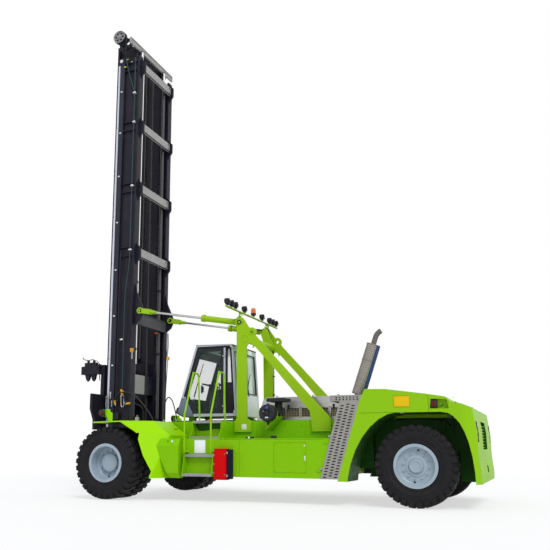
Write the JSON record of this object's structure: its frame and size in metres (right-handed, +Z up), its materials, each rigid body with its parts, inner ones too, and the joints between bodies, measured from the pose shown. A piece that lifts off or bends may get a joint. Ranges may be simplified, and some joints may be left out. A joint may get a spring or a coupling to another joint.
{
  "type": "empty container handler",
  "caption": "Lift truck for empty containers: tall two-stage mast on tilt cylinders, side cab, twin front wheels, steered rear wheels and a rounded counterweight.",
  "frame": {"origin": "on the ground, at the middle of the machine's length and width", "axes": "+X forward, +Y to the driver's left, +Z up"},
  "size_m": [8.275, 4.08, 10.59],
  "materials": {
    "lime_paint": "gloss paint",
    "axle_paint": "satin paint",
    "cab_paint": "satin paint",
    "window_glass": "clear, greenish",
    "seat_cloth": "woven",
    "dark_plastic": "matt",
    "red_plastic": "gloss",
    "cast_iron": "rough",
    "steel": "bare",
    "dark_paint": "satin paint",
    "mast_paint": "satin paint",
    "chrome_steel": "polished",
    "chain_steel": "oiled",
    "rim_paint": "satin paint",
    "tyre_rubber": "matt"
  },
  "bodies": {
    "machine": {"chassis": "lime_paint", "front_axle": "axle_paint", "steer_axle": "axle_paint", "side_tanks": "lime_paint", "front_fenders": "lime_paint", "a_frames": "lime_paint", "cab_shell": "cab_paint", "cab_glass": "window_glass", "driver_seat": "seat_cloth", "cab_controls": "dark_plastic", "left_steps": "lime_paint", "handrails": "lime_paint", "extinguisher_box": "red_plastic", "engine": "cast_iron", "engine_cover": "steel", "rear_body": "lime_paint", "counterweight": "lime_paint", "rear_steps": "steel", "exhaust": "steel", "air_cleaner": "dark_plastic", "light_bar": "dark_plastic"},
    "hood": {"hood": "lime_paint"},
    "door": {"cab_door": "dark_paint", "cab_door_glass": "window_glass"},
    "outer_mast": {"outer_rails": "mast_paint", "outer_crossbeams": "mast_paint", "lift_barrels": "chrome_steel", "mast_pipes": "mast_paint"},
    "inner_mast": {"inner_rails": "mast_paint", "inner_crossbars": "mast_paint", "lift_rods": "chrome_steel", "lift_chains": "chain_steel"},
    "hose_sheave": {"hose_sheave": "rim_paint"},
    "carriage": {"carriage": "mast_paint", "lift_arms": "mast_paint"},
    "left_tilt_barrel": {"left_tilt_barrel": "lime_paint"},
    "left_tilt_rod": {"left_tilt_rod": "chrome_steel"},
    "right_tilt_barrel": {"right_tilt_barrel": "lime_paint"},
    "right_tilt_rod": {"right_tilt_rod": "chrome_steel"},
    "left_front_wheel": {"left_front_tyres": "tyre_rubber", "left_front_rims": "rim_paint"},
    "right_front_wheel": {"right_front_tyres": "tyre_rubber", "right_front_rims": "rim_paint"},
    "left_knuckle": {"left_knuckle": "axle_paint"},
    "right_knuckle": {"right_knuckle": "axle_paint"},
    "left_rear_wheel": {"left_rear_tyre": "tyre_rubber", "left_rear_rim": "rim_paint"},
    "right_rear_wheel": {"right_rear_tyre": "tyre_rubber", "right_rear_rim": "rim_paint"}
  },
  "joints": [
    {"name": "mast_tilt", "type": "hinge", "parent": "machine", "child": "outer_mast", "pos_m": [3.1175, 0, 0.7], "axis": [0, 1, 0], "range_deg": [-5, 3]},
    {"name": "inner_lift", "type": "slide", "parent": "outer_mast", "child": "inner_mast", "axis": [0, 0, 1], "range_m": [0, 7.4]},
    {"name": "carriage_lift", "type": "slide", "parent": "inner_mast", "child": "carriage", "axis": [0, 0, 1], "range_m": [0, 7.4]},
    {"name": "sheave_spin", "type": "hinge", "parent": "inner_mast", "child": "hose_sheave", "pos_m": [3.3575, 0.89, 10.44], "axis": [0, 1, 0], "continuous": true},
    {"name": "hood_lift", "type": "hinge", "parent": "machine", "child": "hood", "pos_m": [-3.6775, 0, 1.78], "axis": [0, -1, 0], "range_deg": [0, 60]},
    {"name": "door_swing", "type": "hinge", "parent": "machine", "child": "door", "pos_m": [0.8115, 0.662, 2.3], "axis": [0, 0, 1], "range_deg": [0, 50]},
    {"name": "left_front_spin", "type": "hinge", "parent": "machine", "child": "left_front_wheel", "pos_m": [2.6675, 1.64, 0.685], "axis": [0, 1, 0], "continuous": true},
    {"name": "left_steer", "type": "hinge", "parent": "machine", "child": "left_knuckle", "pos_m": [-3.1125, 1.12, 0.685], "axis": [0, 0, 1], "range_deg": [-55, 55]},
    {"name": "left_rear_spin", "type": "hinge", "parent": "left_knuckle", "child": "left_rear_wheel", "pos_m": [-3.1125, 1.415, 0.685], "axis": [0, 1, 0], "continuous": true},
    {"name": "left_tilt_swing", "type": "hinge", "parent": "machine", "child": "left_tilt_barrel", "pos_m": [0.3975, 0.69, 3.476], "axis": [0, 1, 0], "range_deg": [-1, 1]},
    {"name": "left_tilt_stroke", "type": "slide", "parent": "left_tilt_barrel", "child": "left_tilt_rod", "axis": [0.9844, 0, 0.1761], "range_m": [-0.29, 0.18]},
    {"name": "right_front_spin", "type": "hinge", "parent": "machine", "child": "right_front_wheel", "pos_m": [2.6675, -1.64, 0.685], "axis": [0, 1, 0], "continuous": true},
    {"name": "right_steer", "type": "hinge", "parent": "machine", "child": "right_knuckle", "pos_m": [-3.1125, -1.12, 0.685], "axis": [0, 0, 1], "range_deg": [-55, 55]},
    {"name": "right_rear_spin", "type": "hinge", "parent": "right_knuckle", "child": "right_rear_wheel", "pos_m": [-3.1125, -1.415, 0.685], "axis": [0, 1, 0], "continuous": true},
    {"name": "right_tilt_swing", "type": "hinge", "parent": "machine", "child": "right_tilt_barrel", "pos_m": [0.3975, -0.69, 3.476], "axis": [0, 1, 0], "range_deg": [-1, 1]},
    {"name": "right_tilt_stroke", "type": "slide", "parent": "right_tilt_barrel", "child": "right_tilt_rod", "axis": [0.9844, 0, 0.1761], "range_m": [-0.29, 0.18]}
  ],
  "couplings": [
    {"joint": "carriage_lift", "follows": "inner_lift", "ratio": 1},
    {"joint": "right_steer", "follows": "left_steer", "ratio": 1},
    {"joint": "left_tilt_swing", "follows": "mast_tilt", "ratio": 0.091},
    {"joint": "left_tilt_stroke", "follows": "mast_tilt", "m_per_rad": 3.2116},
    {"joint": "right_tilt_swing", "follows": "mast_tilt", "ratio": 0.091},
    {"joint": "right_tilt_stroke", "follows": "mast_tilt", "m_per_rad": 3.2116}
  ]
}
